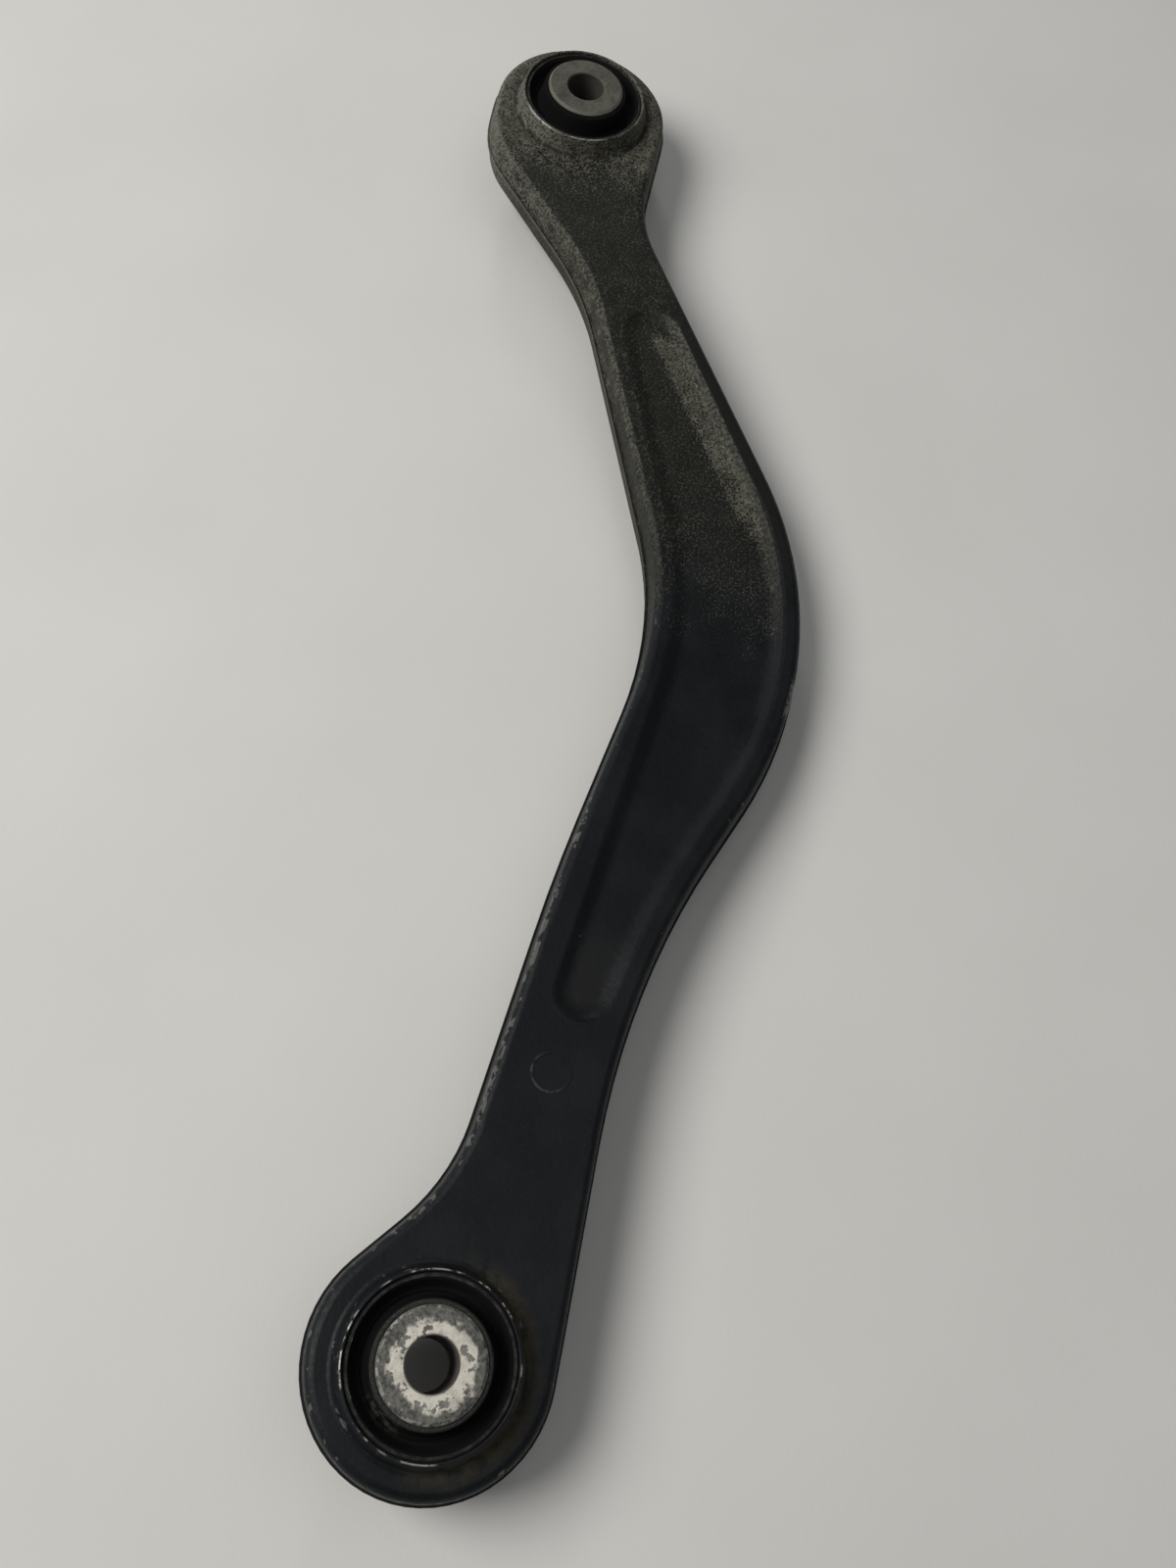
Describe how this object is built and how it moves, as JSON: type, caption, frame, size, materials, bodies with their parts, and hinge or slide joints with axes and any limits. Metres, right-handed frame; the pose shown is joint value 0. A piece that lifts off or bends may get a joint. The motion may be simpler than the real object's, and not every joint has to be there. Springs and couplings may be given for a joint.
{
  "type": "control arm",
  "caption": "Curved forged link with an eye at each end, each holding a pressed-in rubber-and-metal bush that twists and tilts about its bolt.",
  "frame": {"origin": "middle of the inboard bush's bolt hole, on the forging's die plane", "axes": "+X towards the outboard bush, +Z along both bolt holes towards the face with the round die mark; the arm bows towards -Y"},
  "size_m": [0.4599, 0.1148, 0.035],
  "materials": {
    "black_coat": "satin black dip coat on a forging, chipped along its edges, dusty at the outboard end",
    "shell_steel": "dull plated steel",
    "rubber": "matt moulded rubber",
    "sleeve_steel": "machined steel with a worn grey coating"
  },
  "bodies": {
    "arm": {"arm_forging": "black_coat", "inboard_outer_sleeve": "shell_steel", "outboard_outer_sleeve": "shell_steel"},
    "inboard_rubber_body": {"inboard_rubber": "rubber"},
    "inboard_sleeve": {"inboard_inner_sleeve": "sleeve_steel"},
    "outboard_rubber_body": {"outboard_rubber": "rubber"},
    "outboard_sleeve": {"outboard_inner_sleeve": "sleeve_steel"}
  },
  "joints": [
    {"name": "inboard_tilt", "type": "hinge", "parent": "arm", "child": "inboard_rubber_body", "pos_m": [0, 0, 0], "axis": [1, 0, 0], "range_deg": [-4, 4], "stiffness_Nm_per_rad": 150, "deforming": ["inboard_rubber"]},
    {"name": "inboard_twist", "type": "hinge", "parent": "inboard_rubber_body", "child": "inboard_sleeve", "pos_m": [0, 0, 0], "axis": [0, 0, 1], "range_deg": [-25, 25], "stiffness_Nm_per_rad": 57, "deforming": ["inboard_rubber"]},
    {"name": "outboard_tilt", "type": "hinge", "parent": "arm", "child": "outboard_rubber_body", "pos_m": [0.4, 0, 0], "axis": [1, 0, 0], "range_deg": [-4, 4], "stiffness_Nm_per_rad": 150, "deforming": ["outboard_rubber"]},
    {"name": "outboard_twist", "type": "hinge", "parent": "outboard_rubber_body", "child": "outboard_sleeve", "pos_m": [0.4, 0, 0], "axis": [0, 0, 1], "range_deg": [-25, 25], "stiffness_Nm_per_rad": 57, "deforming": ["outboard_rubber"]}
  ]
}
